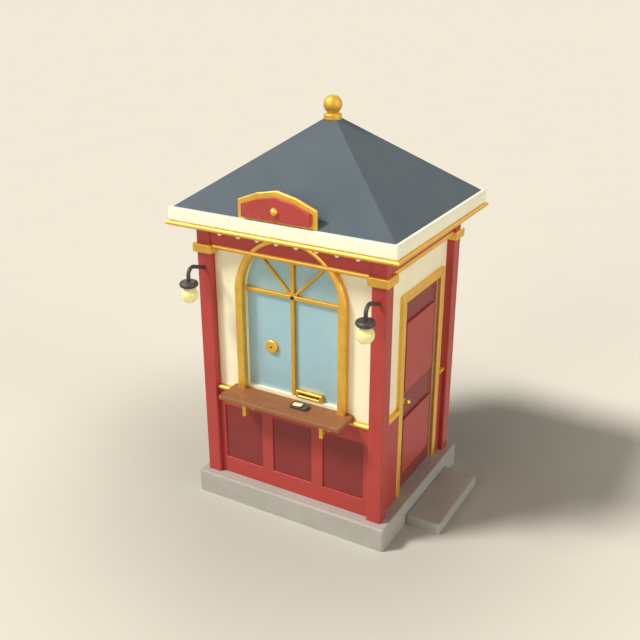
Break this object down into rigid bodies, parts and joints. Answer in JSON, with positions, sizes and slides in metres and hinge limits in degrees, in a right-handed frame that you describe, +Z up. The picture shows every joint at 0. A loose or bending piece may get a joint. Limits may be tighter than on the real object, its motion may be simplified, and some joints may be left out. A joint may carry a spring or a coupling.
{
  "type": "street ticket kiosk",
  "caption": "Street ticket kiosk: hollow timber booth on a concrete plinth with an arched ticket window, counter, hinged side door on a step, pyramid roof and ball finial.",
  "frame": {"origin": "middle of the plinth's underside, on the ground", "axes": "+Z up, the ticket window faces -Y, the door is on the +X side"},
  "size_m": [2.447, 2.0655, 3.793],
  "materials": {
    "concrete": "smooth cast concrete",
    "red_paint": "satin red paint on timber",
    "deep_red_paint": "satin deep red paint on timber",
    "cream_paint": "satin cream paint on timber",
    "gold_trim": "satin gold",
    "brass": "polished",
    "roof_sheet": "matt slate-grey sheet",
    "window_glass": "pale blue glass",
    "counter_wood": "oiled brown wood",
    "black_iron": "satin black",
    "opal_bulb": "opal"
  },
  "bodies": {
    "kiosk": {"plinth": "concrete", "door_step": "concrete", "post_front_left": "red_paint", "post_front_right": "red_paint", "post_back_left": "red_paint", "post_back_right": "red_paint", "corner_blocks": "red_paint", "front_dado": "red_paint", "left_dado": "red_paint", "back_dado": "red_paint", "right_dado": "red_paint", "frieze_boards": "red_paint", "sign_panel": "red_paint", "dado_panels": "deep_red_paint", "front_wall": "cream_paint", "left_wall": "cream_paint", "back_wall": "cream_paint", "right_wall_sides": "cream_paint", "right_wall_head": "cream_paint", "eaves_soffit": "cream_paint", "fascia": "cream_paint", "post_capitals": "gold_trim", "chair_rail": "gold_trim", "architrave_rail": "gold_trim", "cornice_bead": "gold_trim", "finial": "gold_trim", "sign_board": "gold_trim", "sign_boss": "gold_trim", "window_frame": "gold_trim", "counter_brackets": "gold_trim", "door_casing": "gold_trim", "speaking_disc": "brass", "ticket_slot": "brass", "hinge_pins": "brass", "roof": "roof_sheet", "window_glass": "window_glass", "counter": "counter_wood", "coin_tray": "black_iron", "lamp_arms": "black_iron", "lamp_caps": "black_iron", "lamp_bulbs": "opal_bulb", "frieze_bulbs": "opal_bulb"},
    "door": {"door_leaf": "deep_red_paint", "door_panels": "red_paint", "door_knob": "brass", "hinge_knuckles": "brass"}
  },
  "joints": [
    {"name": "door_hinge", "type": "hinge", "parent": "kiosk", "child": "door", "pos_m": [0.784, 0.476, 1.2], "axis": [0, 0, -1], "range_deg": [0, 90]}
  ]
}
